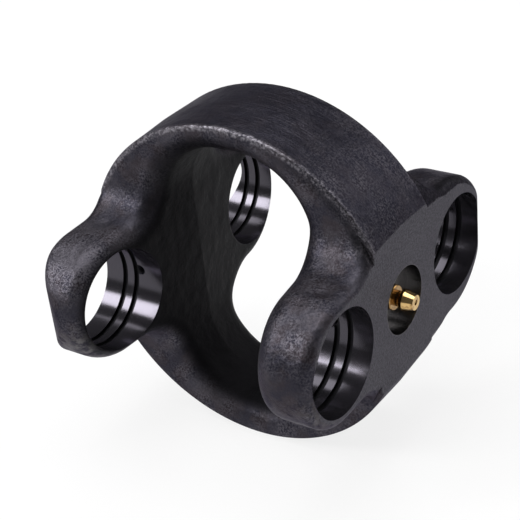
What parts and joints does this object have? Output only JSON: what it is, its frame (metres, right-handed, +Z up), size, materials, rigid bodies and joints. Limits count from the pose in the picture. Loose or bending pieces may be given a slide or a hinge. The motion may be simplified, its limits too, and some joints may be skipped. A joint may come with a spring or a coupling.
{
  "type": "forged yoke",
  "caption": "Ring-shaped forged centre yoke for a double universal joint, with bored ears on both sides, machined side flats and a brass grease fitting in a recess.",
  "frame": {"origin": "centre of the ring, midway between the four bearing bores", "axes": "+X along the bearing bores towards the flat with the grease fitting, +Y along the ring's axis, +Z up"},
  "size_m": [0.0996, 0.1076, 0.108],
  "materials": {
    "forged_steel": "dark forged skin with machined flats and bores",
    "fitting_brass": "turned and bright",
    "bearing_steel": "polished",
    "spring_steel": "drawn wire"
  },
  "bodies": {
    "yoke_body": {"yoke": "forged_steel", "grease_fitting": "fitting_brass", "check_spring": "spring_steel"},
    "ball_body": {"check_ball": "bearing_steel"}
  },
  "joints": [
    {"name": "ball_slide", "type": "slide", "parent": "yoke_body", "child": "ball_body", "axis": [-1, 0, 0], "range_m": [0, 0.0008], "stiffness_N_per_m": 100, "springref_m": -0.004, "deforming": ["check_spring"]}
  ]
}
